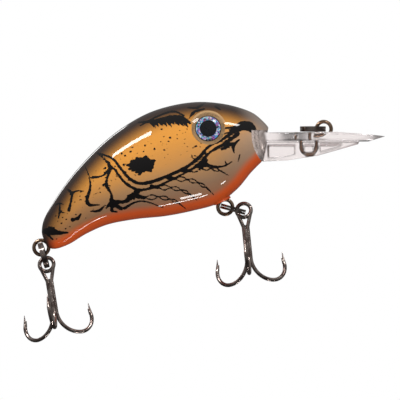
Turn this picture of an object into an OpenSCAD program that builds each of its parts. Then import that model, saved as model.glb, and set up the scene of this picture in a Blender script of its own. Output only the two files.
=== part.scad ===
// Deep-diving crankbait lure: two welded shells, clear bill, split rings and treble hooks.
// Origin at the centre of the line-tie eye. +X points to the nose, +Z to the back, Y across.

/* [Body] */
// Length of the body from tail to nose
body_length = 64; // [62:0.5:66]
// Depth of the body from back to belly
body_height = 28.3; // [27.5:0.1:29]
// Width of the body across both shells
body_width = 20.2; // [19.5:0.1:21]
// Roundness of the body's section, where 2 is an ellipse
section_power = 2.15; // [2:0.05:2.4]
// Wall thickness of the shells
wall = 1.3; // [1.1:0.1:1.4]

/* [Diving lip] */
// Angle of the lip below the body's axis
lip_angle = 25.3; // [24:0.1:27]
// Length of the lip in front of the nose
lip_length = 30; // [28:0.5:32]
// Greatest width of the lip
lip_width = 24.4; // [22:0.2:26]
// Thickness of the lip's plate
lip_thickness = 2.1; // [1.8:0.1:2.3]
// Width of the keel under the plate
keel_width = 2.4; // [2.2:0.1:2.8]

/* [Wire parts] */
// Wire diameter of the line tie and the hook hangers
hanger_wire = 0.95; // [0.9:0.01:1]
// Inner diameter of the line-tie and hanger eyes
hanger_eye = 2.8; // [2.75:0.05:2.9]
// Outer diameter of the split rings
split_ring_od = 6.6; // [6.4:0.1:6.8]
// Radial width of the split rings' flattened wire
split_ring_radial = 0.8; // [0.7:0.05:0.85]
// Thickness of one turn of a split ring
split_ring_turn = 0.6; // [0.5:0.05:0.65]

/* [Treble hooks] */
// Wire diameter of the treble hooks
hook_wire = 1; // [0.9:0.01:1]
// Distance from the hook's eye to the bottom of its bends
hook_length = 18.8; // [18.2:0.1:19.6]
// Distance from the shank's axis to a hook point
hook_reach = 9.65; // [9:0.05:10]

/* [Eyes] */
// Diameter of the clear domed lenses
lens_d = 8.3; // [8:0.1:8.5]
// Height of the lens dome above its rim
lens_rise = 1.05; // [0.8:0.05:1.2]
// Diameter of the iris foils under the lenses
iris_d = 6.6; // [6.2:0.1:6.8]

/* [Inside] */
// Diameter of the large cross rattle ball
knocker_d = 4.8; // [4:0.1:4.9]
// Diameter of the small tail rattle ball
tail_rattle_d = 3.2; // [2.8:0.1:3.3]
// Diameter of the ball in the fore-and-aft rattle tube
tube_rattle_d = 3.8; // [3.4:0.1:3.9]

/* [Hidden] */

LEFT = 1;
RIGHT = -1;

// Body outline: share of the length from the tail, top and bottom as shares of the height
// measured from the body's axis, and half-width as a share of the greatest half-width.
nose_x = -12.6;
axis_z = 5;
STATIONS = [
    [0.000,  0.000, -0.040, 0.05],
    [0.006,  0.070, -0.088, 0.17],
    [0.034,  0.159, -0.122, 0.28],
    [0.089,  0.251, -0.131, 0.42],
    [0.166,  0.357, -0.113, 0.58],
    [0.259,  0.459, -0.122, 0.74],
    [0.369,  0.551, -0.187, 0.88],
    [0.478,  0.608, -0.274, 0.97],
    [0.588,  0.627, -0.337, 1.00],
    [0.689,  0.597, -0.373, 0.99],
    [0.783,  0.532, -0.330, 0.93],
    [0.861,  0.438, -0.249, 0.81],
    [0.923,  0.332, -0.198, 0.67],
    [0.970,  0.219, -0.163, 0.52],
    [0.995,  0.092, -0.088, 0.32],
    [1.000,  0.035, -0.014, 0.10]
];
LAST = len(STATIONS) - 1;
STEPS = 4;              // rings between neighbouring stations
SIDES = 22;             // facets from belly to back on one side
cavity_from = 3.6;      // station where the hollow starts, ahead of the tail hanger
cavity_to = 11.35;      // station where the hollow ends

// A station in millimetres: [x, top z, bottom z, half-width].
function station_mm(s) = [
    nose_x + (s[0] - 1) * body_length,
    axis_z + s[1] * body_height,
    axis_z + s[2] * body_height,
    s[3] * body_width / 2
];

// Catmull-Rom curve through the stations at u, a station number with a fraction.
function spline(a, b, c, d, t) =
    0.5 * (2 * b + (c - a) * t + (2 * a - 5 * b + 4 * c - d) * t * t + (3 * b - a - 3 * c + d) * t * t * t);
function outline(u) =
    let (i = min(floor(u), LAST - 1), t = u - i)
    station_mm(spline(STATIONS[max(i - 1, 0)], STATIONS[i], STATIONS[i + 1], STATIONS[min(i + 2, LAST)], t));

// One half-ring of the body's skin from belly to back at u, moved inwards by inset.
function raised(v, power) = sign(v) * pow(abs(v), power);
function half_ring(u, inset) =
    let (
        s = outline(u),
        half_height = (s[1] - s[2]) / 2 - inset,
        middle = (s[1] + s[2]) / 2,
        half_width = s[3] - inset,
        power = 2 / section_power
    )
    [for (j = [0 : SIDES])
        let (a = -90 + 180 * j / SIDES)
        [s[0], j == 0 || j == SIDES ? 0 : half_width * raised(cos(a), power), middle + half_height * raised(sin(a), power)]];

// Half-width of the skin at any x and z, for the posts and seats that end in the wall.
function at_x(column, x) = lookup(x, [for (i = [0 : LAST]) let (s = station_mm(STATIONS[i])) [s[0], s[column]]]);
function skin_y(x, z) =
    let (top = at_x(1, x), bottom = at_x(2, x), share = abs(z - (top + bottom) / 2) / ((top - bottom) / 2))
    at_x(3, x) * pow(max(0, 1 - pow(share, section_power)), 1 / section_power);

// How far across a round feature may reach at x, z before it would show through the skin.
function seat_y(x, z, r) = min([for (dx = [-r, 0, r], dz = [-r, 0, r]) skin_y(x + dx, z + dz)]) - 0.45;

// Wire eyes and their chain of rings and hooks. Directions are angles below +X.
eye_r = (hanger_eye + hanger_wire) / 2;
belly_eye = [-31.23, 0, -7.24];
belly_anchor = [-31.6, 0, -0.3];
tail_eye = [-78.05, 0, 3.44];
tail_anchor = [-71.6, 0, 6.2];
ring_r = (split_ring_od - split_ring_radial) / 2;
ring_gap = 0.08;                // between the two turns
hook_ring_play = 0.84;          // the ring's wire lies this far past the hanger eye's centre
line_ring_play = 0.12;
belly_ring_dir = 40.6;
tail_ring_dir = 98.6;
belly_hook_lean = 19.6;         // shanks lean this far towards the tail
tail_hook_lean = 15.2;
hook_eye_r = 1.83;
hook_eye_drop = -0.45;          // from the ring's wire to the hook eye's centre, up the shank
hook_tilt = -17.5;              // shanks lean this far out to the right-hand side
hook_turn = 176;                // turn about the shank; the single hook faces right

// Point at a distance from a start, along a direction given as an angle below +X.
function along(start, angle, distance) = start + distance * [cos(angle), 0, -sin(angle)];
belly_link = along(belly_eye, belly_ring_dir, 2 * ring_r - hook_ring_play);
tail_link = along(tail_eye, tail_ring_dir, 2 * ring_r - hook_ring_play);
belly_hook_eye = along(belly_link, 90 + belly_hook_lean, hook_eye_drop);
tail_hook_eye = along(tail_link, 90 + tail_hook_lean, hook_eye_drop);

// Fish eye seats.
eye_seat = [-26.7, 8.35, 12.55];
eye_tilt_up = 9;
eye_tilt_forward = 8;
lens_rim = 0.3;
foil_thickness = 0.15;
seat_play = 0.1;

// Moulded posts: [x, z, post radius, pin radius, half of the gap that they clamp].
pin_play = 0.05;
pin_reach = 2.2;
POSTS = [
    [belly_anchor[0], belly_anchor[2], 2.1, 1.2, 0.5],
    [tail_anchor[0], tail_anchor[2], 1.9, 1.2, 0.5],
    [-40, 18.2, 1.8, 0.9, 0.02],
    [-57.5, 15.2, 1.8, 0.9, 0.02],
    [-23, 9.4, 2, 1, 1.25],
    [-54.5, 4.6, 1.8, 0.9, 0.02]
];

// Lip, in its own frame: x along the plate, z square to it, origin at the line-tie eye.
lip_top = -0.95;
lip_under = lip_top - lip_thickness;
nose_face = -14.4;
nose_face_tilt = 11;
nose_cut_r = 10.56;             // the clear nose meets the shells on this cylinder
nose_cut = [-8.04, 0, -1.3];
lip_tip = nose_face + lip_length;
lip_root_half = 5;
lip_round = lip_width / 2;
tongue = [[-26.9, -4.3], [-16.8, 1.7]];
tongue_play = 0.05;
legs_front = -eye_r;
legs_rear = -5.8;
legs_bottom = -6.55;
legs_top = -1.6;

// Rattles and ballast.
knocker_at = [-49.5, 0, 12.6];
tail_rattle_at = [-62.5, 0, 9.2];
tube_rattle_at = [-37, 0, 12];
ball_play = 0.2;
chamber_wall = 0.8;
tube_half = 5.4;
ballast_at = [-38.8, 0, 1.1];
ballast_r = 3.2;
ballast_half = 3.5;

// ---- Basic shapes -------------------------------------------------------

// A closed wire ring in the XZ plane.
module wire_ring(r, wire) {
    rotate([90, 0, 0]) rotate_extrude($fn = 72) translate([r, 0]) circle(d = wire, $fn = 32);
}

// An arc of wire in the XZ plane, angles from +X towards +Z.
module wire_arc(r, wire, from, to) {
    rotate([90, 0, 0]) rotate([0, 0, from])
        rotate_extrude(angle = to - from, $fn = 72) translate([r, 0]) circle(d = wire, $fn = 32);
}

// A straight wire between two points.
module wire_run(a, b, wire) {
    v = b - a;
    length = norm(v);
    translate(a) rotate([0, acos(v[2] / length), atan2(v[1], v[0])]) cylinder(h = length, d = wire, $fn = 32);
}

// A cylinder across the body.
module cross_cylinder(x, z, r, from, to, sides = 48) {
    translate([x, from, z]) rotate([-90, 0, 0]) cylinder(h = to - from, r = r, $fn = sides);
}

module in_lip_frame() {
    rotate([0, lip_angle, 0]) children();
}

// Places children, built along +Z, on the flat seat of one fish eye.
module on_eye_seat(side) {
    translate([eye_seat[0], side * eye_seat[1], eye_seat[2]])
        rotate([-side * (90 - eye_tilt_up), 0, 0]) rotate([0, eye_tilt_forward, 0]) children();
}

// ---- Shells -------------------------------------------------------------

// Left half of the body as a solid, cut flat on the centre plane.
module solid_half() {
    rings = LAST * STEPS;
    row = SIDES + 1;
    past = 0.6;                 // the loft runs this far past the plane before it is cut
    points = [for (i = [0 : rings])
        let (half = half_ring(i / STEPS, 0))
        each [for (j = [0 : SIDES]) j == 0 || j == SIDES ? [half[j][0], -past, half[j][2]] : half[j]]];
    skin = [for (i = [0 : rings - 1], j = [0 : SIDES - 1])
        let (a = i * row + j) each [[a, a + row, a + 1], [a + 1, a + row, a + row + 1]]];
    flat = [for (i = [0 : rings - 1])
        let (a = i * row, b = a + SIDES) each [[a, b, a + row], [b, b + row, a + row]]];
    ends = [[for (j = [0 : SIDES]) j], [for (j = [SIDES : -1 : 0]) rings * row + j]];
    intersection() {
        polyhedron(points = points, faces = concat(skin, flat, ends), convexity = 6);
        translate([-90, 0, -20]) cube([90, 20, 60]);
    }
}

// The hollow inside both shells, as a solid.
module cavity() {
    rings = 26;
    row = 30;
    points = [for (i = [0 : rings], j = [0 : row - 1])
        let (
            s = outline(cavity_from + (cavity_to - cavity_from) * i / rings),
            a = 360 * (j + 0.5) / row - 90,
            power = 2 / section_power
        )
        [
            s[0],
            (s[3] - wall) * raised(cos(a), power),
            (s[1] + s[2]) / 2 + ((s[1] - s[2]) / 2 - wall) * raised(sin(a), power)
        ]];
    skin = [for (i = [0 : rings - 1], j = [0 : row - 1])
        let (a = i * row + j, b = i * row + (j + 1) % row) each [[a, a + row, b], [b, a + row, b + row]]];
    ends = [[for (j = [0 : row - 1]) j], [for (j = [row - 1 : -1 : 0]) rings * row + j]];
    polyhedron(points = points, faces = concat(skin, ends), convexity = 6);
}

module hollow_half() {
    difference() {
        solid_half();
        cavity();
    }
}

// Slot in the centre plane that holds a figure-eight hanger.
module hanger_slot(eye, anchor) {
    play = 0.07;
    r = eye_r + hanger_wire / 2 + play;
    half = hanger_wire / 2 + play;
    for (c = [eye, anchor]) cross_cylinder(c[0], c[2], r, -half, half);
    v = anchor - eye;
    translate(eye) rotate([0, -atan2(v[2], v[0]), 0])
        translate([0, -half, -1.32]) cube([norm(v), 2 * half, 2.64]);
}

// Moulded posts from the clamping gap out to the wall.
module posts() {
    for (p = POSTS) cross_cylinder(p[0], p[1], p[2], p[4], seat_y(p[0], p[1], p[2]));
}

// Half of a transverse rattle chamber: a tube from the centre plane to the wall.
module cross_chamber(at, ball_d) {
    inner = ball_d / 2 + ball_play;
    wall_y = seat_y(at[0], at[2], inner + chamber_wall);
    difference() {
        cross_cylinder(at[0], at[2], inner + chamber_wall, 0.02, wall_y);
        cross_cylinder(at[0], at[2], inner, -1, wall_y + 1);
    }
}

// Half of the fore-and-aft rattle tube with the two posts that carry it.
module tube_chamber(at, ball_d) {
    inner = ball_d / 2 + ball_play;
    outer = inner + chamber_wall;
    difference() {
        union() {
            translate([at[0] - tube_half - chamber_wall, 0, at[2]]) rotate([0, 90, 0])
                cylinder(h = 2 * (tube_half + chamber_wall), r = outer, $fn = 48);
            for (x = [at[0] - 3, at[0] + 3])
                cross_cylinder(x, at[2], 1.4, outer - 0.6, seat_y(x, at[2], 1.4));
        }
        translate([at[0] - tube_half, 0, at[2]]) rotate([0, 90, 0]) cylinder(h = 2 * tube_half, r = inner, $fn = 48);
        translate([at[0] - 10, -10.02 + 0.04, at[2] - 5]) cube([20, 10, 10]);
    }
}

// Half of the cup that holds the ballast.
module ballast_cup() {
    difference() {
        cross_cylinder(ballast_at[0], ballast_at[2], ballast_r + 0.9, 0.02, ballast_half + 0.6);
        cross_cylinder(ballast_at[0], ballast_at[2], ballast_r + pin_play, -1, ballast_half + pin_play);
    }
}

// Low pad on the belly where the hook hanger comes out.
module hanger_pad() {
    translate([belly_eye[0], 0, belly_eye[2] + 1.49]) cylinder(h = 1.5, r = 2.3, $fn = 64);
}

// A left-hand shell with everything moulded into it. One half has the pins, the other the sockets.
module shell_half(with_pins) {
    difference() {
        union() {
            hollow_half();
            on_eye_seat(LEFT) translate([0, 0, -2.3]) cylinder(h = 2.3, d = lens_d + 1.1, $fn = 64);
            posts();
            cross_chamber(knocker_at, knocker_d);
            cross_chamber(tail_rattle_at, tail_rattle_d);
            tube_chamber(tube_rattle_at, tube_rattle_d);
            ballast_cup();
            intersection() {
                hanger_pad();
                translate([-60, 0, -20]) cube([60, 20, 40]);
            }
        }
        on_eye_seat(LEFT) cylinder(h = 6, d = lens_d + 2 * seat_play, $fn = 64);
        hanger_slot(belly_eye, belly_anchor);
        hanger_slot(tail_eye, tail_anchor);
        in_lip_frame() {
            translate(nose_cut) rotate([90, 0, 0]) cylinder(h = 40, r = nose_cut_r, center = true, $fn = 96);
            translate([tongue[0][0] - tongue_play, -keel_width / 2 - tongue_play, tongue[0][1] - tongue_play])
                cube([
                    tongue[1][0] - tongue[0][0] + 2, keel_width + 2 * tongue_play,
                    tongue[1][1] - tongue[0][1] + 2 * tongue_play
                ]);
        }
        if (!with_pins) for (p = POSTS) cross_cylinder(p[0], p[1], p[3] + pin_play, -1, pin_reach + 0.4);
    }
    if (with_pins) for (p = POSTS) cross_cylinder(p[0], p[1], p[3], -pin_reach, p[4] + 0.5);
}

module left_body_shell() {
    color([0.78, 0.55, 0.26]) shell_half(false);
}

module right_body_shell() {
    color([0.78, 0.55, 0.26]) mirror([0, 1, 0]) shell_half(true);
}

// ---- Diving lip ---------------------------------------------------------

// Half-width of the lip's plate at x along it.
function lip_half(x) =
    let (round_from = lip_tip - lip_round, t = min(1, max(0, (x - nose_face) / (round_from - nose_face))))
    x > round_from
        ? sqrt(max(0, lip_round * lip_round - pow(x - round_from, 2)))
        : lip_root_half + (lip_round - lip_root_half) * t * t * (3 - 2 * t);

// Plate with its front edge bevelled from below and eased from above.
module lip_plate() {
    back = nose_face - 1.2;
    steps = 44;
    xs = [for (i = [0 : steps]) let (t = i / steps) back + (lip_tip - back) * sin(90 * t)];
    difference() {
        translate([0, 0, lip_under]) linear_extrude(lip_thickness)
            polygon(concat(
                [for (x = xs) [x, lip_half(x)]],
                [for (i = [steps - 1 : -1 : 0]) [xs[i], -lip_half(xs[i])]]
            ));
        translate([lip_tip - 3.8, -20, lip_under]) rotate([0, -17, 0]) translate([-8, 0, -6]) cube([20, 40, 6]);
        translate([lip_tip - 12.7, -20, lip_top]) rotate([0, 4.3, 0]) translate([0, 0, 0]) cube([20, 40, 6]);
    }
}

// Keel under the plate, thinned by windows on both sides.
module lip_keel() {
    outline = [[-17, lip_under + 0.3], [9.2, lip_under + 0.3], [8.7, -3.9], [-1.5, -6.8], [-6.1, -7.5], [-9.1, -8], [-15.6, -8.3], [-17, -6.4]];
    windows = [
        [[-14.2, -4.2], [-7.3, -4.2], [-7.3, -6.6], [-9.2, -7.1], [-14.2, -7.6]],
        [[-5.1, -4.2], [-2.6, -4.2], [-2.6, -5.9], [-5.1, -6.2]],
        [[-1.1, -4.1], [4.6, -4.1], [4, -4.6], [-1.1, -6]]
    ];
    depth = keel_width / 2 - 0.5;
    difference() {
        translate([0, keel_width / 2, 0]) rotate([90, 0, 0]) linear_extrude(keel_width) polygon(outline);
        for (w = windows, side = [LEFT, RIGHT])
            translate([0, side * (0.5 + depth), 0])
                rotate([90, 0, 0]) linear_extrude(2 * depth, center = true) polygon(w);
    }
}

// Front end of the body as a solid, both sides.
module nose_solid() {
    from = 11 * STEPS;
    rings = LAST * STEPS - from;
    row = 2 * SIDES;
    points = [for (i = [0 : rings])
        let (half = half_ring((from + i) / STEPS, 0))
        each concat(half, [for (j = [SIDES - 1 : -1 : 1]) [half[j][0], -half[j][1], half[j][2]]])];
    skin = [for (i = [0 : rings - 1], j = [0 : row - 1])
        let (a = i * row + j, b = i * row + (j + 1) % row) each [[a, a + row, b], [b, a + row, b + row]]];
    ends = [[for (j = [0 : row - 1]) j], [for (j = [row - 1 : -1 : 0]) rings * row + j]];
    polyhedron(points = points, faces = concat(skin, ends), convexity = 4);
}

// Clear nose between the shells' front edge and the lip's root.
module nose_block() {
    intersection() {
        nose_solid();
        in_lip_frame() difference() {
            translate(nose_cut) rotate([90, 0, 0]) cylinder(h = 40, r = nose_cut_r - 0.02, center = true, $fn = 96);
            translate([nose_face, 0, lip_top]) rotate([0, nose_face_tilt, 0]) translate([0, -20, -20]) cube([20, 40, 40]);
        }
    }
}

// The line-tie wire as it lies in the lip, with play around it.
module tie_wire(play) {
    wire = hanger_wire + 2 * play;
    leg_wire = wire - 0.05;
    bend = (legs_front - legs_rear) / 2;
    in_lip_frame() {
        wire_arc(eye_r, wire, -114, 180);
        wire_run([legs_front, 0, 0.25], [legs_front, 0, legs_bottom + bend - 0.2], leg_wire);
        translate([legs_front - bend, 0, legs_bottom + bend]) wire_arc(bend, wire, 180, 360);
        wire_run([legs_rear, 0, legs_bottom + bend - 0.2], [legs_rear, 0, legs_top + play], leg_wire);
    }
}

module diving_lip() {
    color([0.9, 0.9, 0.92, 0.4]) difference() {
        union() {
            nose_block();
            in_lip_frame() {
                lip_plate();
                lip_keel();
                translate([tongue[0][0], -keel_width / 2, tongue[0][1]])
                    cube([tongue[1][0] - tongue[0][0], keel_width, tongue[1][1] - tongue[0][1]]);
            }
        }
        tie_wire(0.02);
        lip_pin = POSTS[4];
        cross_cylinder(lip_pin[0], lip_pin[1], lip_pin[3] + pin_play, -5, 5);
    }
}

// ---- Wires, rings and hooks ---------------------------------------------

module line_tie_wire() {
    color([0.25, 0.24, 0.25]) tie_wire(0);
}

// Figure-eight hanger: the outer eye shows, the inner eye is clamped on a pin.
module hanger(eye, anchor) {
    v = anchor - eye;
    neck = 0.62;                // half the distance between the two wires of the neck
    end = sqrt(eye_r * eye_r - neck * neck);
    reach = norm(v);
    translate(eye) rotate([0, -atan2(v[2], v[0]), 0]) {
        wire_ring(eye_r, hanger_wire);
        translate([reach, 0, 0]) wire_ring(eye_r, hanger_wire);
        for (z = [-neck, neck]) wire_run([end, 0, z], [reach - end, 0, z], hanger_wire + 0.08);
    }
}

module belly_hook_hanger() {
    color([0.25, 0.24, 0.25]) hanger(belly_eye, belly_anchor);
}

module tail_hook_hanger() {
    color([0.25, 0.24, 0.25]) hanger(tail_eye, tail_anchor);
}

// A split ring: two flat turns, joined by a short crossing. Its wire passes play past
// the middle of the eye that carries it, and the ring runs from there at an angle below +X.
module split_ring(eye, angle, play) {
    centre = along(eye, angle, ring_r - play);
    inner = split_ring_od / 2 - split_ring_radial;
    half = ring_gap / 2 + split_ring_turn;
    translate(centre) rotate([0, angle, 0]) {
        for (z = [-half, ring_gap / 2])
            translate([0, 0, z]) difference() {
                cylinder(h = split_ring_turn, d = split_ring_od, $fn = 96);
                translate([0, 0, -1]) cylinder(h = split_ring_turn + 2, r = inner, $fn = 96);
            }
        intersection() {
            difference() {
                translate([0, 0, -ring_gap]) cylinder(h = 2 * ring_gap, d = split_ring_od - 0.02, $fn = 96);
                translate([0, 0, -1]) cylinder(h = 2, r = inner + 0.01, $fn = 96);
            }
            rotate([0, 0, 60]) translate([0, -0.9, -1]) cube([5, 1.8, 2]);
        }
    }
}

module line_tie_split_ring() {
    color([0.3, 0.29, 0.3]) split_ring([0, 0, 0], 180 + lip_angle, line_ring_play);
}

module belly_split_ring() {
    color([0.3, 0.29, 0.3]) split_ring(belly_eye, belly_ring_dir, hook_ring_play);
}

module tail_split_ring() {
    color([0.3, 0.29, 0.3]) split_ring(tail_eye, tail_ring_dir, hook_ring_play);
}

// One hook of a treble: shank at bundle_r from the axis, bend, point and barb.
bundle_r = hook_wire / sqrt(3) + 0.01;
bend_out = 5.6;                 // radius from the shank out to the bottom
bend_up = 3.75;                 // radius from the bottom up to the point
point_tilt = 6;
point_length = 3.4;
throat = 4.4;                   // where the two wires from the eye meet in the shank
module hook(shank_top) {
    bottom = -hook_length + hook_wire / 2;
    wire_run([bundle_r, 0, shank_top], [bundle_r, 0, bottom + bend_out], hook_wire);
    translate([bundle_r + bend_out, 0, bottom + bend_out]) wire_arc(bend_out, hook_wire, 180, 270);
    translate([hook_reach + 0.35 - bend_up, 0, bottom + bend_up]) {
        wire_arc(bend_up, hook_wire, 270, 360 + point_tilt);
        rotate([0, -point_tilt, 0]) translate([bend_up, 0, 0]) {
            cylinder(h = point_length, d1 = hook_wire, d2 = 0.12, $fn = 32);
            translate([-0.2, 0, 0.4]) rotate([0, -9, 0]) cylinder(h = 1.5, d1 = 0.75, d2 = 0.3, $fn = 24);
        }
    }
    flat = hook_reach + 0.35 - bend_up - bundle_r - bend_out;
    if (flat > 0.01)
        wire_run([bundle_r + bend_out, 0, bottom], [bundle_r + bend_out + flat, 0, bottom], hook_wire);
}

// Places a treble's parts, built with the eye at the origin and the shank along -Z.
module at_treble(eye, lean) {
    translate(eye) rotate([0, lean, 0]) rotate([hook_tilt, 0, 0]) rotate([0, 0, hook_turn]) children();
}

module double_hook() {
    wire_ring(hook_eye_r, hook_wire);
    for (side = [-1, 1])
        wire_run(
            [side * hook_eye_r * cos(30), 0, -hook_eye_r * sin(30)],
            [side * bundle_r * cos(30), -bundle_r * sin(30), -throat],
            hook_wire - 0.06
        );
    for (azimuth = [-30, 210]) rotate([0, 0, azimuth]) hook(0.5 - throat);
}

module single_hook() {
    difference() {
        union() {
            rotate([0, 0, 90]) hook(-throat - 0.8);
            translate([0, 0, -hook_length + bend_out + 0.4])
                cylinder(h = hook_length - bend_out - throat - 1.4, r = 0.5, $fn = 32);
        }
        for (azimuth = [-30, 210]) rotate([0, 0, azimuth]) hook(0.5 - throat);
    }
}

module belly_treble_double_hook() {
    color([0.22, 0.21, 0.22]) at_treble(belly_hook_eye, belly_hook_lean) double_hook();
}

module belly_treble_single_hook() {
    color([0.22, 0.21, 0.22]) at_treble(belly_hook_eye, belly_hook_lean) single_hook();
}

module tail_treble_double_hook() {
    color([0.22, 0.21, 0.22]) at_treble(tail_hook_eye, tail_hook_lean) double_hook();
}

module tail_treble_single_hook() {
    color([0.22, 0.21, 0.22]) at_treble(tail_hook_eye, tail_hook_lean) single_hook();
}

// ---- Eyes, ballast and rattles ------------------------------------------

module iris_foil(side) {
    on_eye_seat(side) cylinder(h = foil_thickness, d = iris_d, $fn = 64);
}

module eye_lens(side) {
    dome_r = (lens_d * lens_d / 4 + lens_rise * lens_rise) / (2 * lens_rise);
    on_eye_seat(side) difference() {
        union() {
            cylinder(h = lens_rim, d = lens_d, $fn = 64);
            intersection() {
                translate([0, 0, lens_rim + lens_rise - dome_r]) sphere(r = dome_r, $fn = 96);
                cylinder(h = 5, d = lens_d, $fn = 64);
            }
        }
        translate([0, 0, -1]) cylinder(h = 1 + foil_thickness + 0.02, d = iris_d + 0.1, $fn = 64);
    }
}

module left_iris_foil() {
    color([0.7, 0.75, 0.7]) iris_foil(LEFT);
}

module right_iris_foil() {
    color([0.7, 0.75, 0.7]) iris_foil(RIGHT);
}

module left_eye_lens() {
    color([0.95, 0.95, 0.97, 0.3]) eye_lens(LEFT);
}

module right_eye_lens() {
    color([0.95, 0.95, 0.97, 0.3]) eye_lens(RIGHT);
}

module belly_ballast() {
    color([0.5, 0.5, 0.52]) cross_cylinder(ballast_at[0], ballast_at[2], ballast_r, -ballast_half, ballast_half);
}

module knocker_ball() {
    color([0.8, 0.8, 0.82]) translate(knocker_at) sphere(d = knocker_d, $fn = 64);
}

module tail_rattle_ball() {
    color([0.8, 0.8, 0.82]) translate(tail_rattle_at) sphere(d = tail_rattle_d, $fn = 64);
}

module tube_rattle_ball() {
    color([0.8, 0.8, 0.82]) translate(tube_rattle_at) sphere(d = tube_rattle_d, $fn = 64);
}

left_body_shell();
right_body_shell();
diving_lip();
line_tie_wire();
belly_hook_hanger();
tail_hook_hanger();
line_tie_split_ring();
belly_split_ring();
tail_split_ring();
belly_treble_double_hook();
belly_treble_single_hook();
tail_treble_double_hook();
tail_treble_single_hook();
left_iris_foil();
right_iris_foil();
left_eye_lens();
right_eye_lens();
belly_ballast();
knocker_ball();
tail_rattle_ball();
tube_rattle_ball();
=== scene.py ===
"""Crankbait lure: painted skin with its printed markings, clear lip, eyes and dark wire,
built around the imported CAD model. Everything is in metres, in the CAD frame."""

import math

import bmesh
import bpy
import numpy as np
from mathutils import Matrix, Vector

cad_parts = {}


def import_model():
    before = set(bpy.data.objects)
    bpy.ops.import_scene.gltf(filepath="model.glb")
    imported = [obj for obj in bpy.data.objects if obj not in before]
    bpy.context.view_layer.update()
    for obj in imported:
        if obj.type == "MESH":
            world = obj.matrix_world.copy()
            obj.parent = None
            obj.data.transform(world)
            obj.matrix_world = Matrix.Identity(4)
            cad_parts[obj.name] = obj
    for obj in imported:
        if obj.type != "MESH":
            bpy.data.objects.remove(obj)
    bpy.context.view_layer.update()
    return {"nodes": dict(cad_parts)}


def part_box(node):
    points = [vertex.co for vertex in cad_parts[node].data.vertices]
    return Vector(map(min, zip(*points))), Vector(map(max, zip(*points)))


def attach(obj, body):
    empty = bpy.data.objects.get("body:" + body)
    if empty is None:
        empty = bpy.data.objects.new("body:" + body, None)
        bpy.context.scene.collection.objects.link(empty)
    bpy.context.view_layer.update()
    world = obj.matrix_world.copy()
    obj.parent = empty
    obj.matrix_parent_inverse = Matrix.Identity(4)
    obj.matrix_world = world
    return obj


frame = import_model()
nodes = frame["nodes"]
MM = 0.001
rng = np.random.default_rng(11)


# ---- Body form: the same stations as the CAD shells, in millimetres ------

NOSE_X, LENGTH, AXIS_Z, HEIGHT, WIDTH = -12.6, 64.0, 5.0, 28.3, 20.2
POWER = 2.15
STATIONS = np.array([
    [0.000, 0.000, -0.040, 0.05],
    [0.006, 0.070, -0.088, 0.17],
    [0.034, 0.159, -0.122, 0.28],
    [0.089, 0.251, -0.131, 0.42],
    [0.166, 0.357, -0.113, 0.58],
    [0.259, 0.459, -0.122, 0.74],
    [0.369, 0.551, -0.187, 0.88],
    [0.478, 0.608, -0.274, 0.97],
    [0.588, 0.627, -0.337, 1.00],
    [0.689, 0.597, -0.373, 0.99],
    [0.783, 0.532, -0.330, 0.93],
    [0.861, 0.438, -0.249, 0.81],
    [0.923, 0.332, -0.198, 0.67],
    [0.970, 0.219, -0.163, 0.52],
    [0.995, 0.092, -0.088, 0.32],
    [1.000, 0.035, -0.014, 0.10],
])


LAST = len(STATIONS) - 1


def between(a, b, c, d, t):
    """The point at share t of the way from b to c on a spline through a, b, c and d."""
    return 0.5 * (2 * b + (c - a) * t + (2 * a - 5 * b + 4 * c - d) * t * t
                  + (3 * b - a - 3 * c + d) * t ** 3)


def outline(u):
    """[x, top, bottom, half-width] in mm at station number u."""
    i = min(int(u), LAST - 1)
    share = between(*(STATIONS[min(max(k, 0), LAST)] for k in range(i - 1, i + 3)), u - i)
    return np.array([NOSE_X + (share[0] - 1) * LENGTH, AXIS_Z + share[1] * HEIGHT,
                     AXIS_Z + share[2] * HEIGHT, share[3] * WIDTH / 2])


OUTLINE = np.array([outline(u) for u in np.linspace(0, LAST, 600)])
TOP, BOTTOM = 1, 2


def edge_height(x, edge):
    """Height in mm of the body's top or bottom edge at x."""
    return np.interp(x, OUTLINE[:, 0], OUTLINE[:, edge])


# ---- Materials ----------------------------------------------------------

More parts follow.
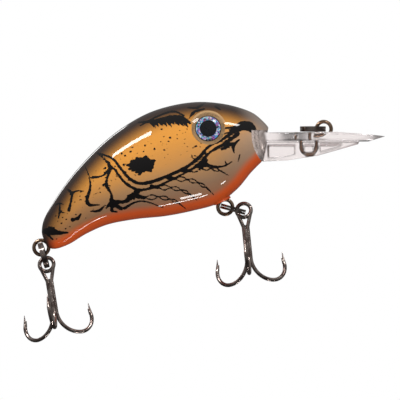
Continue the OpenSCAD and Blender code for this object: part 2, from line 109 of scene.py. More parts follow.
class Graph:
    """Small helper for building node trees."""

    def __init__(self, name):
        self.material = bpy.data.materials.new(name)
        self.material.use_nodes = True
        self.tree = self.material.node_tree
        self.shader = self.tree.nodes["Principled BSDF"]

    def node(self, kind, **settings):
        made = self.tree.nodes.new("ShaderNode" + kind)
        inputs = settings.pop("inputs", {})
        for key, value in settings.items():
            setattr(made, key, value)
        for key, value in inputs.items():
            if isinstance(value, bpy.types.NodeSocket):
                self.tree.links.new(value, made.inputs[key])
            else:
                made.inputs[key].default_value = value
        return made

    def set(self, **values):
        for key, value in values.items():
            name = key.replace("_", " ")
            if isinstance(value, bpy.types.NodeSocket):
                self.tree.links.new(value, self.shader.inputs[name])
            else:
                self.shader.inputs[name].default_value = value

    def object_position(self):
        return self.node("TexCoord").outputs["Object"]

    def noise(self, scale, detail=2.0, roughness=0.5, vector=None):
        return self.node("TexNoise", inputs={
            "Vector": vector or self.object_position(), "Scale": scale, "Detail": detail,
            "Roughness": roughness})

    def math(self, operation, a, b=0.0):
        return self.node("Math", operation=operation, inputs={0: a, 1: b}).outputs[0]

    def span(self, value, low, high, to_low=0.0, to_high=1.0):
        """Eases from to_low to to_high as the value goes from low to high."""
        return self.node("MapRange", interpolation_type="SMOOTHSTEP", inputs={
            "Value": value, "From Min": low, "From Max": high,
            "To Min": to_low, "To Max": to_high}).outputs[0]

    def mix(self, factor, a, b, blend="MIX"):
        made = self.node("Mix", data_type="RGBA", blend_type=blend)
        for index, value in ((0, factor), (6, a), (7, b)):
            if isinstance(value, bpy.types.NodeSocket):
                self.tree.links.new(value, made.inputs[index])
            else:
                made.inputs[index].default_value = value
        return made.outputs[2]

    def ramp(self, value, stops):
        made = self.node("ValToRGB", inputs={"Fac": value})
        elements = made.color_ramp.elements
        while len(elements) < len(stops):
            elements.new(0.5)
        for element, (position, colour) in zip(elements, stops):
            element.position = position
            element.color = colour
        return made.outputs["Color"]

    def bump(self, height, strength, distance):
        inputs = {"Height": height, "Strength": strength, "Distance": distance}
        return self.node("Bump", inputs=inputs).outputs[0]

    def polish(self, grain, roughness):
        """Roughness that wanders about a value with the grain."""
        return self.span(grain.outputs[0], 0.2, 0.8, roughness * 0.7, roughness * 1.4)


def rgb(r, g, b):
    """A linear colour from display values of 0 to 255."""
    def linear(v):
        v /= 255
        return v / 12.92 if v <= 0.04045 else ((v + 0.055) / 1.055) ** 2.4
    return (linear(r), linear(g), linear(b), 1.0)


def wire_material(name, dark, light, scale, roughness):
    """Dark nickel plate: polished, with faint drawing lines, worn bright spots and smudges."""
    g = Graph(name)
    blotches = g.noise(scale, 3.0, 0.6)
    grain = g.noise(scale * 6, 2.0, 0.5)
    colour = g.mix(g.span(blotches.outputs[0], 0.35, 0.7), dark, light)
    g.set(Base_Color=colour, Metallic=1.0,
          Roughness=g.polish(grain, roughness),
          Normal=g.bump(blotches.outputs[0], 0.15, 0.00004))
    return g.material


def paint_material():
    """Airbrushed paint from belly to back with the printed markings, all under clear gloss. Its colours
    up the side also hold painted shade, darker on the lower side.
    """
    g = Graph("airbrushed_paint_and_shade")
    position = g.object_position()
    share = g.node("Attribute", attribute_name="height_share").outputs["Fac"]
    along = g.node("Attribute", attribute_name="along").outputs["Fac"]
    ink = g.node("Attribute", attribute_name="ink_distance").outputs["Fac"]
    cloud = g.noise(160, 3.0, 0.55, position).outputs[0]
    mist = g.noise(5200, 2.0, 0.6, position).outputs[0]
    soft = g.math("MULTIPLY", g.math("SUBTRACT", cloud, 0.5), 0.09)
    speck = g.math("MULTIPLY", g.math("SUBTRACT", mist, 0.5), 0.09)
    level = g.math("ADD", share, g.math("ADD", soft, speck))

    # Airbrushed colours from the belly up to the back. They also hold painted shade: the lower side is
    # duller and darker than the gold above it.
    gold_with_painted_shade = g.ramp(level, [
        (0.00, rgb(205, 92, 44)), (0.10, rgb(160, 112, 84)), (0.22, rgb(150, 118, 92)),
        (0.36, rgb(172, 130, 88)), (0.50, rgb(204, 143, 76)), (0.72, rgb(224, 152, 64)),
        (1.00, rgb(214, 144, 62))])
    front_fade = g.span(along, 0.74, 0.99)
    taupe = g.ramp(level, [
        (0.0, rgb(214, 104, 52)), (0.2, rgb(168, 140, 118)), (0.5, rgb(170, 142, 118)),
        (0.75, rgb(198, 152, 104)), (1.0, rgb(150, 120, 98))])
    lower_front = g.math("MULTIPLY", front_fade, g.span(level, 0.78, 0.42))
    colour = g.mix(lower_front, gold_with_painted_shade, taupe)
    rear_fade = g.math("MULTIPLY", g.span(along, 0.42, 0.05), g.span(level, 0.75, 0.3))
    colour = g.mix(g.math("MULTIPLY", rear_fade, 0.8), colour, rgb(150, 104, 66))

    belly_line = g.node("Attribute", attribute_name="belly_band").outputs["Fac"]
    belly = g.span(g.math("ADD", belly_line, g.math("MULTIPLY", speck, 6.0)), 3.4, 1.2)
    colour = g.mix(belly, colour, rgb(224, 92, 38))
    back_line = g.node("Attribute", attribute_name="back_band").outputs["Fac"]
    back = g.span(g.math("ADD", back_line, g.math("MULTIPLY", speck, 9.0)), 6.2, 0.9)
    colour = g.mix(back, colour, rgb(50, 37, 32))
    nose = g.math("MULTIPLY", g.span(along, 0.90, 1.0), 0.55)
    colour = g.mix(nose, colour, rgb(196, 176, 160))

    ragged = g.noise(1500, 3.0, 0.65, position).outputs[0]
    edge = g.math("ADD", ink, g.math("MULTIPLY", g.math("SUBTRACT", ragged, 0.5), 0.35))
    inked = g.span(edge, 0.14, 0.03)
    colour = g.mix(inked, colour, rgb(16, 14, 14))
    g.set(Base_Color=colour, Roughness=0.32, Coat_Weight=1.0, Coat_Roughness=0.015, Coat_IOR=1.52,
          Specular_IOR_Level=0.0, Normal=g.bump(inked, 0.25, 0.00003))
    return g.material


def clear_plastic_material():
    """Moulded polycarbonate: clear, with the slight waviness of a moulding and the last of
    the back's overspray on the nose."""
    g = Graph("clear_polycarbonate")
    tint = (0.915, 0.845, 0.835, 1.0)
    where = g.node("SeparateXYZ", inputs={0: g.object_position()})
    spray = g.math("MULTIPLY", g.span(where.outputs["X"], -0.0140, -0.0172),
                   g.span(where.outputs["Z"], -0.002, 0.006, 0.1, 0.6))
    mist = g.noise(2600, 3.0, 0.6).outputs[0]
    spray = g.math("MULTIPLY", spray, g.span(mist, 0.25, 0.6, 0.5, 1.0))
    drawn = g.node("VectorMath", operation="MULTIPLY",
                   inputs={0: g.object_position(), 1: (0.4, 1.0, 3.0)}).outputs[0]
    flow = g.noise(320, 3.0, 0.6, drawn)
    eased = g.node("Bevel", samples=6, inputs={"Radius": 0.0008}).outputs[0]
    bump = g.node("Bump", inputs={
        "Height": flow.outputs[0], "Strength": 0.6, "Distance": 0.00008, "Normal": eased})
    g.set(Base_Color=g.mix(spray, tint, rgb(176, 142, 116)), IOR=1.52,
          Roughness=g.span(spray, 0.0, 1.0, 0.02, 0.35),
          Transmission_Weight=g.span(spray, 0.1, 0.9, 1.0, 0.1), Normal=bump.outputs[0])
    return g.material


def lens_material():
    """Thin clear epoxy dome: the foil shows straight through and the dome shines."""
    g = Graph("clear_lens")
    g.set(Base_Color=(0.004, 0.004, 0.005, 1), Roughness=0.02, IOR=2.8, Alpha=0.12)
    return g.material


def shell_plastic_material():
    """Tinted plastic inside; the pad round the belly hanger is sprayed with the belly."""
    g = Graph("shell_plastic")
    grain = g.noise(900, 3.0)
    hanger_eye = (-0.0312, 0, -0.0072)
    away = g.node("VectorMath", operation="DISTANCE", inputs={0: g.object_position(), 1: hanger_eye})
    sprayed = g.span(away.outputs["Value"], 0.0055, 0.0045)
    bare = g.mix(grain.outputs[0], rgb(178, 140, 96), rgb(196, 158, 112))
    g.set(Base_Color=g.mix(sprayed, bare, rgb(206, 84, 34)), Roughness=0.3,
          Normal=g.bump(grain.outputs[0], 0.1, 0.00002))
    return g.material


def foil_material(centre):
    """Diffracting foil: fine prism cells that turn through the spectrum, and a printed pupil."""
    g = Graph("iris_foil")
    position = g.object_position()
    local = g.node("VectorMath", operation="SUBTRACT", inputs={0: position, 1: centre}).outputs[0]
    radius = g.node("VectorMath", operation="LENGTH", inputs={0: local}).outputs["Value"]
    cells = g.node("TexVoronoi", feature="F1", inputs={"Vector": position, "Scale": 2300.0})
    tone = g.node("TexNoise", inputs={"Vector": position, "Scale": 900.0, "Detail": 2.0}).outputs[0]
    hue = g.node("SeparateColor", inputs={0: cells.outputs["Color"]})
    spin = g.math("FRACT", g.math("ADD", hue.outputs[0], g.math("MULTIPLY", tone, 2.0)))
    rainbow = g.ramp(spin, [
        (0.00, rgb(90, 150, 250)), (0.16, rgb(40, 215, 235)), (0.30, rgb(240, 255, 255)),
        (0.46, rgb(255, 255, 250)), (0.58, rgb(200, 140, 250)), (0.70, rgb(250, 110, 190)),
        (0.82, rgb(70, 80, 220)), (1.00, rgb(150, 230, 255))])
    dim = g.span(hue.outputs[1], 0.1, 0.45, 0.12, 1.0)
    shade = g.node("CombineColor", inputs={0: dim, 1: dim, 2: dim}).outputs[0]
    dimmed = g.mix(1.0, rainbow, shade, "MULTIPLY")
    pupil = g.span(radius, 0.00222, 0.00208)
    rim = g.span(radius, 0.00305, 0.00315)
    dark = g.math("MAXIMUM", pupil, rim)
    g.set(Base_Color=g.mix(dark, dimmed, rgb(10, 14, 20)),
          Metallic=g.math("SUBTRACT", 0.3, g.math("MULTIPLY", dark, 0.3)), Specular_IOR_Level=0.1,
          Roughness=0.4, Normal=g.bump(hue.outputs[2], 0.5, 0.00005))
    return g.material


def steel_material(name, colour, roughness):
    """Bare metal with a fine grain."""
    g = Graph(name)
    grain = g.noise(1400, 3.0)
    g.set(Base_Color=colour, Metallic=1.0, Roughness=g.polish(grain, roughness))
    return g.material


def dress(material, *names):
    """Gives a material to CAD nodes."""
    for name in names:
        data = nodes[name].data
        data.materials.clear()
        data.materials.append(material)


hook_look = wire_material("black_nickel_hooks", rgb(122, 104, 98), rgb(206, 192, 184), 420, 0.16)
ring_look = wire_material("black_nickel_rings", rgb(112, 96, 90), rgb(190, 176, 168), 500, 0.16)
hanger_look = wire_material("nickel_hangers", rgb(158, 120, 94), rgb(214, 186, 160), 380, 0.14)
dress(hook_look, "belly_treble_double_hook", "belly_treble_single_hook",
      "tail_treble_double_hook", "tail_treble_single_hook")
dress(ring_look, "line_tie_split_ring", "belly_split_ring", "tail_split_ring")
dress(hanger_look, "line_tie_wire", "belly_hook_hanger", "tail_hook_hanger")
dress(clear_plastic_material(), "diving_lip")
dress(lens_material(), "left_eye_lens", "right_eye_lens")
dress(shell_plastic_material(), "left_body_shell", "right_body_shell")
dress(steel_material("cast_ballast", rgb(120, 120, 124), 0.5), "belly_ballast")
dress(steel_material("polished_balls", rgb(200, 200, 204), 0.12),
      "knocker_ball", "tail_rattle_ball", "tube_rattle_ball")
for side in ("left", "right"):
    low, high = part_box(side + "_iris_foil")
    dress(foil_material((low + high) / 2), side + "_iris_foil")


def smooth_cad(name, angle=32):
    """Shades a CAD node smoothly between its sharp edges, with its vertices where they are."""
    obj = nodes[name]
    weld = obj.modifiers.new("weld", "WELD")
    weld.merge_threshold = 1e-7
    for polygon in obj.data.polygons:
        polygon.use_smooth = True
    if obj.data.has_custom_normals:
        with bpy.context.temp_override(object=obj, active_object=obj, selected_objects=[obj]):
            bpy.ops.mesh.customdata_custom_splitnormals_clear()
    split = obj.modifiers.new("edges", "EDGE_SPLIT")
    split.split_angle = math.radians(angle)
    split.use_edge_sharp = False


for name in ("left_body_shell", "right_body_shell", "diving_lip"):
    smooth_cad(name)


# ---- Painted skin -------------------------------------------------------

def new_object(name, data):
    obj = bpy.data.objects.new(name, data)
    bpy.context.scene.collection.objects.link(obj)
    return obj


def evaluated(obj):
    """The object's mesh with its modifiers applied, in place of the old one."""
    bpy.context.view_layer.update()
    graph = bpy.context.evaluated_depsgraph_get()
    data = bpy.data.meshes.new_from_object(obj.evaluated_get(graph))
    obj.modifiers.clear()
    obj.data = data
    return obj


def loft_skin(proud, rings, around):
    """The body's outer skin as a closed mesh, standing proud of the CAD shells."""
    rows = []
    angles = np.radians(np.arange(around) * 360 / around - 90)
    for u in np.linspace(0, LAST, rings):
        x, top, bottom, half = outline(u)
        cos, sin = np.cos(angles), np.sin(angles)
        y = (half + proud) * np.sign(cos) * np.abs(cos) ** (2 / POWER)
        z = (top + bottom) / 2 + ((top - bottom) / 2 + proud) * np.sign(sin) * np.abs(sin) ** (2 / POWER)
        rows.append(np.stack([np.full(around, x), y, z], 1))
    rows[0][:, 0] -= proud
    points = np.concatenate(rows) * MM
    faces = []
    for i in range(rings - 1):
        for j in range(around):
            k = (j + 1) % around
            here, there = i * around, (i + 1) * around
            faces.append((here + j, here + k, there + k, there + j))
    faces.append(tuple(range(around - 1, -1, -1)))
    faces.append(tuple((rings - 1) * around + j for j in range(around)))
    data = bpy.data.meshes.new("skin")
    data.from_pydata(points.tolist(), [], faces)
    data.update()
    return data


def cutter_object(made):
    """A scene object from a bmesh, which is freed."""
    data = bpy.data.meshes.new("cutter")
    made.to_mesh(data)
    made.free()
    return new_object("cutter", data)


def cylinder_cutter(radius, length, matrix):
    """A cylinder along the matrix's Z, sized in mm."""
    made = bmesh.new()
    bmesh.ops.create_cone(made, cap_ends=True, segments=128, radius1=radius * MM, radius2=radius * MM,
                          depth=length * MM, matrix=matrix)
    return cutter_object(made)


def box_cutter(low, high, matrix):
    """A box between two corners in mm, placed by the matrix."""
    low, high = Vector(low) * MM, Vector(high) * MM
    made = bmesh.new()
    sized = Matrix.Translation((low + high) / 2) @ Matrix.Diagonal((*(high - low), 1))
    bmesh.ops.create_cube(made, size=1, matrix=matrix @ sized)
    return cutter_object(made)


def at_mm(x, y, z):
    return Matrix.Translation(Vector((x, y, z)) * MM)


def cut(obj, cutter):
    """Takes the cutter out of the object and throws the cutter away."""
    modifier = obj.modifiers.new("cut", "BOOLEAN")
    modifier.operation = "DIFFERENCE"
    modifier.solver = "EXACT"
    modifier.object = cutter
    evaluated(obj)
    bpy.data.objects.remove(cutter)


LIP_TILT = math.radians(25.3)
LIP_FRAME = Matrix.Rotation(LIP_TILT, 4, "Y")
EYE_SEAT = Vector((-26.7, 8.35, 12.55))
EYE_UP, EYE_FORWARD = math.radians(9), math.radians(8)


def eye_matrix(side):
    """Places things built along +Z on one eye's seat; side is 1 for left and -1 for right."""
    place = at_mm(EYE_SEAT.x, side * EYE_SEAT.y, EYE_SEAT.z)
    turn = Matrix.Rotation(-side * (math.pi / 2 - EYE_UP), 4, "X") @ Matrix.Rotation(EYE_FORWARD, 4, "Y")
    return place @ turn


MESH = ((260, 256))
INNER_MESH = (70, 60)
PAINT_OUT, PAINT_IN = 0.07, -0.12
NOSE_RADIUS = 10.5
EYE_POCKET_RADIUS = 4.27

skin = new_object("painted_skin", loft_skin(PAINT_OUT, *MESH))
cut(skin, new_object("inner", loft_skin(PAINT_IN, *INNER_MESH)))
# The nose block stays clear under the lip's plane and on its face.
nose_arc = LIP_FRAME @ at_mm(-8.04, 0, -1.3) @ Matrix.Rotation(math.pi / 2, 4, "X")
clear_nose = cylinder_cutter(NOSE_RADIUS, 40, nose_arc)
cut(clear_nose, box_cutter((-30, -25, -0.4), (30, 25, 30), LIP_FRAME))
cut(skin, clear_nose)
nose_face = LIP_FRAME @ at_mm(-14.42, 0, -0.95) @ Matrix.Rotation(math.radians(11), 4, "Y")
cut(skin, box_cutter((0, -20, -20), (20, 20, 20), nose_face))
for side in (1, -1):
    cut(skin, cylinder_cutter(EYE_POCKET_RADIUS, 6, eye_matrix(side) @ at_mm(0, 0, 2.5)))


# ---- Printed markings: a crayfish pattern, in body millimetres (x, z) ----

def smooth_line(points, steps=6):
    """A spline through the points."""
    p = np.array(points, float)
    if len(p) < 3:
        return p
    ends = np.vstack([2 * p[0] - p[1], p, 2 * p[-1] - p[-2]])
    made = []
    for i in range(1, len(ends) - 2):
        a, b, c, d = ends[i - 1:i + 3]
        made += [between(a, b, c, d, t) for t in np.arange(steps) / steps]
    made.append(p[-1])
    return np.array(made)


def heading_step(degrees, length):
    return np.array([math.cos(math.radians(degrees)), math.sin(math.radians(degrees))]) * length


class Ink:
    """Collects strokes as tapered segments and measures the distance to the nearest edge."""

    def __init__(self):
        self.segments = []

    def stroke(self, points, widths, jitter=0.0):
        """A smooth line whose half-width runs through the given ones."""
        line = smooth_line(points)
        at = np.linspace(0, 1, len(line))
        half = np.interp(at, np.linspace(0, 1, len(widths)), widths)
        if jitter:
            half = half * (1 + jitter * rng.uniform(-1, 1, len(half)))
        for i in range(len(line) - 1):
            self.segments.append((*line[i], *line[i + 1], half[i], half[i + 1]))

    def blot(self, x, z, wide, tall, spikes=11, turn=0.0):
        """A ragged patch: short tapered strokes out of a thick middle."""
        for k in range(spikes):
            a = 2 * math.pi * (k + rng.uniform(-0.3, 0.3)) / spikes
            reach = rng.uniform(0.75, 1.2)
            dx, dz = math.cos(a) * wide * reach, math.sin(a) * tall * reach
            c, s = math.cos(turn), math.sin(turn)
            tip = (x + dx * c - dz * s, z + dx * s + dz * c)
            self.stroke([(x, z), tip], [min(wide, tall) * 0.62, min(wide, tall) * 0.1])

    def oval(self, a, b, bow, width):
        """A long oval outline from a to b, for one joint of a leg."""
        a, b = np.array(a, float), np.array(b, float)
        across = np.array([-(b - a)[1], (b - a)[0]]) / np.linalg.norm(b - a)
        for side in (-bow, bow):
            self.stroke([a, (a + b) / 2 + across * side, b], [width, width * 1.3, width])

    def leg(self, start, heading, lengths, bow, bend):
        """A chain of joints that thins out and ends in a claw."""
        at = np.array(start, float)
        for k, length in enumerate(lengths):
            step = heading_step(heading, length)
            self.oval(at, at + step, bow * (1 - 0.2 * k), 0.07)
            at = at + step
            heading += bend
        self.stroke([at, at + heading_step(heading, lengths[-1])], [0.14, 0.04])

    def distance(self, x, z):
        """Distance in mm from each point to the nearest stroke's edge, below 0 inside it."""
        out = np.full(len(x), 9.0)
        for ax, az, bx, bz, ha, hb in self.segments:
            reach = max(ha, hb) + 1.2
            near = ((x > min(ax, bx) - reach) & (x < max(ax, bx) + reach)
                    & (z > min(az, bz) - reach) & (z < max(az, bz) + reach))
            if not near.any():
                continue
            px, pz = x[near] - ax, z[near] - az
            dx, dz = bx - ax, bz - az
            t = np.clip((px * dx + pz * dz) / max(dx * dx + dz * dz, 1e-9), 0, 1)
            d = np.hypot(px - t * dx, pz - t * dz) - (ha + (hb - ha) * t)
            out[near] = np.minimum(out[near], d)
        return out


ink = Ink()
# Carapace: a double line from the nose, under the eye and up to the back.
ink.stroke([(-19, 9.5), (-24, 8.6), (-28.5, 8.4), (-32, 6.9), (-36, 6.1), (-41, 6.1), (-45.5, 6.5),
            (-48.5, 7.6), (-50.2, 10), (-51, 13), (-51.8, 16), (-54.5, 19)],
           [0.42, 0.3, 0.26, 0.36, 0.32, 0.34, 0.4, 0.34, 0.3, 0.28, 0.24, 0.1], 0.15)
ink.stroke([(-20.5, 8.1), (-25, 7.3), (-29, 6.9), (-32.6, 5.4), (-37, 4.9), (-41.5, 4.8), (-46, 5.1),
            (-49.4, 6.2), (-51.6, 9.4), (-52.4, 13), (-54, 17)],
           [0.4, 0.42, 0.2, 0.4, 0.16, 0.18, 0.24, 0.34, 0.3, 0.2, 0.08], 0.2)
ink.blot(-31.8, 5.0, 1.7, 0.7, 9, 0.5)
ink.blot(-24.2, 6.5, 1.8, 0.55, 9, 0.1)
ink.blot(-51, 5.4, 1.9, 0.9, 11, 0.2)
# Snout patch and the lines that lead back to the eye.
ink.stroke([(-21.6, 9.5), (-19, 9.6), (-17.2, 8.8), (-16.6, 7.6)], [0.5, 1.0, 1.1, 0.9], 0.12)
ink.stroke([(-23, 10.9), (-21, 10.2), (-19, 10)], [0.16, 0.22, 0.3])
ink.stroke([(-23.6, 9.7), (-21.4, 9.1), (-19.5, 8.8)], [0.14, 0.2, 0.3])
# Band over the gill with a toothed lower edge.
ink.stroke([(-42, 21.6), (-38.5, 20.2), (-34.8, 19.1), (-32, 18), (-30.2, 15.8)],
           [0.12, 0.4, 0.75, 0.7, 0.25], 0.1)
ink.stroke([(-42, 20.6), (-37.5, 20.9), (-33, 20.4), (-30.8, 18.2)], [0.08, 0.16, 0.2, 0.12])
for k in range(9):
    x = -39 + k * 0.95
    z = 20 - 0.2 * k - 0.03 * k * k
    ink.stroke([(x, z), (x + 0.3, z - rng.uniform(1.1, 1.9))], [0.4, 0.04])
# Brow marks.
ink.stroke([(-30, 16.9), (-28, 17.9), (-25.4, 17.5)], [0.12, 0.34, 0.1], 0.2)
ink.stroke([(-29, 19.6), (-27, 18.6), (-24.5, 18.9)], [0.1, 0.26, 0.08], 0.2)
ink.stroke([(-24.6, 19.4), (-22.8, 18.6), (-21.6, 16.6)], [0.14, 0.4, 0.12], 0.2)
ink.stroke([(-22.6, 16.9), (-21.8, 15.6)], [0.22, 0.08])
# Side patch.
ink.blot(-45.8, 11.4, 3.1, 2.2, 15, -0.35)
ink.stroke([(-47.4, 12.6), (-45.4, 11.2), (-43.8, 9.9)], [0.9, 1.5, 0.7], 0.15)
# Mouth and gill strokes.
ink.stroke([(-20.8, 6.7), (-22.8, 5.9), (-23.4, 4.2)], [0.15, 0.42, 0.1], 0.2)
ink.stroke([(-24.8, 2.4), (-27.2, 2.3), (-29.6, 3.3), (-31.4, 5.2)], [0.07, 0.16, 0.22, 0.4], 0.2)
ink.stroke([(-26.6, 2.2), (-26.2, 3.6)], [0.14, 0.05])
ink.stroke([(-22.3, 3.2), (-23.4, 1.8)], [0.14, 0.05])
# Walking legs below the carapace.
for start, heading, lengths in (((-35.6, 4.9), -12, (3, 2.6, 2.4)), ((-39.6, 4.6), -28, (3, 2.8, 2.6)),
                                ((-44.4, 4.4), -24, (3, 2.8, 2.4)), ((-48.6, 3.6), -22, (3.4, 3, 2.4))):
    ink.leg(start, heading, lengths, 0.62, -14)
    ink.stroke([start, (start[0] - 1.4, start[1] + 1)], [0.3, 0.5], 0.2)
ink.stroke([(-54.4, 3.4), (-51.4, 3.6), (-48.8, 2.6), (-45.6, -0.6)], [0.3, 0.16, 0.12, 0.05])
# Tail plates.
ink.stroke([(-54.8, 19), (-53.4, 16.2), (-53.5, 14), (-55.2, 12), (-56.1, 10.4),
            (-55.9, 8), (-56.6, 6), (-55.2, 3.6)],
           [0.1, 0.16, 0.4, 0.2, 0.36, 0.18, 0.5, 0.4], 0.25)
ink.stroke([(-58.4, 13.9), (-56, 13.2), (-53.8, 13.9)], [0.3, 0.12, 0.3])
ink.stroke([(-58.6, 5.4), (-56.6, 6), (-53.6, 4.9), (-51.6, 5.4)], [0.1, 0.5, 0.35, 0.7], 0.25)
ink.stroke([(-56.6, 5.8), (-57.6, 4.3), (-56.6, 3.4)], [0.45, 0.3, 0.12], 0.25)
ink.stroke([(-58.9, 17.4), (-59.2, 14), (-60.2, 11.6), (-62.1, 9.4), (-62, 7.9), (-59.8, 6.9)],
           [0.06, 0.12, 0.22, 0.45, 0.3, 0.08], 0.25)
ink.stroke([(-62.6, 6.4), (-60.6, 5.6), (-58.6, 6.2)], [0.08, 0.3, 0.08], 0.25)
ink.stroke([(-65.6, 14.1), (-65, 12.5), (-66, 10.8), (-67.4, 9)], [0.1, 0.4, 0.14, 0.34], 0.25)
ink.stroke([(-65, 12.6), (-63.4, 12.5), (-61.9, 11.7)], [0.3, 0.12, 0.06])
ink.stroke([(-70, 11.7), (-69, 11.6), (-68, 10.9)], [0.05, 0.16, 0.05])
ink.stroke([(-68.9, 11.4), (-69.6, 10), (-70.8, 8.2)], [0.08, 0.2, 0.05])
ink.stroke([(-69.8, 9.7), (-68.6, 8.8)], [0.16, 0.05])
ink.stroke([(-67.6, 6.4), (-66.2, 6.2), (-65, 6.9)], [0.4, 0.3, 0.1], 0.3)
# Tail end.
ink.stroke([(-75.6, 6.9), (-74, 6.2), (-72.4, 5), (-70.2, 4)], [0.55, 0.8, 0.45, 0.12], 0.25)
ink.stroke([(-75, 5.8), (-74.4, 4)], [0.3, 0.06])
ink.stroke([(-74, 7), (-72.8, 6.6)], [0.4, 0.08])


def speckle_place(rear, front, low, high):
    """A random place between two ends of the body and two shares of its height."""
    x, share = rng.uniform(rear, front), rng.uniform(low, high)
    bottom = edge_height(x, BOTTOM)
    return x, bottom + share * (edge_height(x, TOP) - bottom)


# Speckles.
for _ in range(150):
    x, z = speckle_place(-57, -29, 0.46, 0.82)
    r = rng.uniform(0.02, 0.12) if rng.random() < 0.85 else rng.uniform(0.15, 0.27)
    ink.stroke([(x, z), (x + rng.uniform(-0.2, 0.2), z + rng.uniform(-0.1, 0.1))], [r, r * 0.7])
for _ in range(40):
    x, z = speckle_place(-74, -57, 0.25, 0.75)
    r = rng.uniform(0.02, 0.12)
    ink.stroke([(x, z), (x + 0.1, z)], [r, r])


def squareness(x, edge):
    """Cosine of the edge's slope, to turn a height into a distance from the edge."""
    slope = np.gradient(OUTLINE[:, edge]) / np.gradient(OUTLINE[:, 0])
    return 1 / np.hypot(1, np.interp(x, OUTLINE[:, 0], slope))


def finish_skin(obj):
    """Stores where each point lies on the body for the paint, and puts the skin in the frame."""
    data = obj.data
    co = np.zeros(len(data.vertices) * 3)
    data.vertices.foreach_get("co", co)
    co = co.reshape(-1, 3) / MM
    x, z = co[:, 0], co[:, 2]
    top, bottom = edge_height(x, TOP), edge_height(x, BOTTOM)
    values = {
        "height_share": (z - bottom) / np.maximum(top - bottom, 0.01),
        "along": (x - NOSE_X) / LENGTH + 1,
        "ink_distance": ink.distance(x, z),
        "belly_band": (z - bottom) * squareness(x, BOTTOM),
        "back_band": (top - z) * squareness(x, TOP),
    }
    for name, value in values.items():
        layer = data.attributes.new(name, "FLOAT", "POINT")
        layer.data.foreach_set("value", value.astype(np.float32))
    data.materials.clear()
    data.materials.append(paint_material())
    data.polygons.foreach_set("use_smooth", np.ones(len(data.polygons), bool))
    data.polygons.foreach_set("material_index", np.zeros(len(data.polygons), np.int32))
    data.update()
    split = obj.modifiers.new("edges", "EDGE_SPLIT")
    split.split_angle = math.radians(40)
    split.use_edge_sharp = False
    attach(obj, "lure_body")


finish_skin(skin)

# ---- Stage --------------------------------------------------------------

def world():
    """White behind the lure, dimmer for reflections and for light bent away by the clear parts."""
    made = bpy.data.worlds.new("studio")
    made.use_nodes = True
    tree = made.node_tree
    background = tree.nodes["Background"]
    path = tree.nodes.new("ShaderNodeLightPath")
    place = tree.nodes.new("ShaderNodeTexCoord").outputs["Generated"]

    def toward(vector, low, high, from_value, to_value):
        dot = tree.nodes.new("ShaderNodeVectorMath")
        dot.operation = "DOT_PRODUCT"
        tree.links.new(place, dot.inputs[0])
        dot.inputs[1].default_value = vector
        level = tree.nodes.new("ShaderNodeMapRange")
        level.interpolation_type = "SMOOTHSTEP"
        limits = {"From Min": low, "From Max": high, "To Min": from_value, "To Max": to_value}
        for name, value in limits.items():
            level.inputs[name].default_value = value
        tree.links.new(dot.outputs["Value"], level.inputs["Value"])
        return level.outputs[0]

    def math_node(operation, a, b):
        made_node = tree.nodes.new("ShaderNodeMath")
        made_node.operation = operation
        for index, value in enumerate((a, b)):
            if isinstance(value, bpy.types.NodeSocket):
                tree.links.new(value, made_node.inputs[index])
            else:
                made_node.inputs[index].default_value = value
        return made_node.outputs[0]

    def choose(factor, otherwise, value):
        return math_node("ADD", math_node("MULTIPLY", factor, value),
                         math_node("MULTIPLY", math_node("SUBTRACT", 1.0, factor), otherwise))

    diffuse, glossy = toward(up, -0.8, 0.8, 0.16, 0.55), toward(up, -0.7, 0.9, 0.05, 0.28)
    through = toward((0, 1, 0), 0.7, 0.985, 0.36, 1.0)
    level = choose(path.outputs["Is Glossy Ray"], diffuse, glossy)
    level = choose(path.outputs["Is Transmission Ray"], level, through)
    level = choose(path.outputs["Is Camera Ray"], level, 1.0)
    tree.links.new(level, background.inputs["Strength"])
    background.inputs["Color"].default_value = (1, 1, 1, 1)
    bpy.context.scene.world = made


def softbox(name, start, end, width, radiance, shine=True):
    """A long flat light between two places in the studio, facing the lure."""
    data = bpy.data.lights.new(name, "AREA")
    data.shape = "RECTANGLE"
    data.size, data.size_y = (end - start).length, width
    data.energy = radiance * math.pi * data.size * data.size_y
    obj = new_object(name, data)
    middle = (start + end) / 2
    z = (middle - AIM).normalized()
    x = (end - start) - z * (end - start).dot(z)
    x.normalize()
    obj.matrix_world = Matrix.Translation(middle) @ Matrix((x, z.cross(x), z)).transposed().to_4x4()
    obj.visible_glossy = obj.visible_transmission = shine


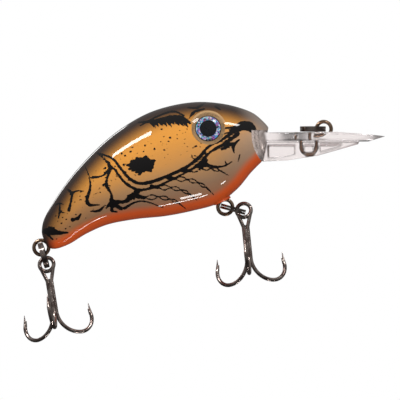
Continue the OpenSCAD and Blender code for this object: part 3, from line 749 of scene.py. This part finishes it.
AIM = Vector((-36.28, 0, -2.88)) * MM
ROLL = math.radians(-25.3)
DISTANCE = 0.9
VIEW_WIDTH = 102 * MM
up = Vector((-math.sin(ROLL), 0, math.cos(ROLL)))
right = Vector((math.cos(ROLL), 0, math.sin(ROLL)))
world()


def studio(x, height, depth):
    """A place in the tilted studio: across the view, up it, and towards the camera."""
    return AIM + right * x + up * height + Vector((0, -depth, 0))


softbox("upper_left", studio(-0.315, 0.29, 0.21), studio(-0.18, 0.367, 0.235), 0.07, 19)
softbox("upper_right", studio(0.14, 0.355, 0.275), studio(0.225, 0.315, 0.272), 0.05, 17)
softbox("low_tail", studio(0.16, -0.42, 0.07), studio(0.04, -0.45, 0.02), 0.02, 18)
softbox("low_middle", studio(0.09, -0.42, 0.13), studio(0.125, -0.41, 0.13), 0.05, 14)
softbox("low_front", studio(0.275, -0.335, 0.13), studio(0.305, -0.32, 0.13), 0.03, 16)
softbox("behind", studio(-0.24, 0.1, -0.4), studio(-0.14, 0.2, -0.4), 0.05, 5)
softbox("front_fill", studio(-0.1, 0, 0.75), studio(0.3, 0, 0.75), 0.4, 5.5, shine=False)


def floor(drop, side):
    """A plain pale floor below the view. Only the camera sees it, so it leaves the light alone."""
    half = side / 2
    data = bpy.data.meshes.new("floor")
    square = ((-half, -half), (half, -half), (half, half), (-half, half))
    corners = [AIM + Vector((x, y, -drop)) for x, y in square]
    data.from_pydata(corners, [], [(0, 1, 2, 3)])
    obj = new_object("floor", data)
    g = Graph("pale_floor")
    g.set(Base_Color=(0, 0, 0, 1), Specular_IOR_Level=0.0,
          Emission_Color=rgb(252, 252, 251), Emission_Strength=1.0)
    data.materials.append(g.material)
    obj.visible_diffuse = obj.visible_glossy = obj.visible_transmission = obj.visible_shadow = False


floor(drop=1.0, side=8.0)

camera = bpy.data.cameras.new("camera")
camera.sensor_width = 36
camera.lens = camera.sensor_width * DISTANCE / VIEW_WIDTH
camera.clip_start = 0.01
camera.clip_end = 20
viewer = new_object("camera", camera)
forward = Vector((0, 1, 0))
turn = Matrix((right, up, -forward)).transposed().to_4x4()
viewer.matrix_world = Matrix.Translation(AIM - forward * DISTANCE) @ turn
scene = bpy.context.scene
scene.camera = viewer
scene.view_settings.view_transform = "Standard"
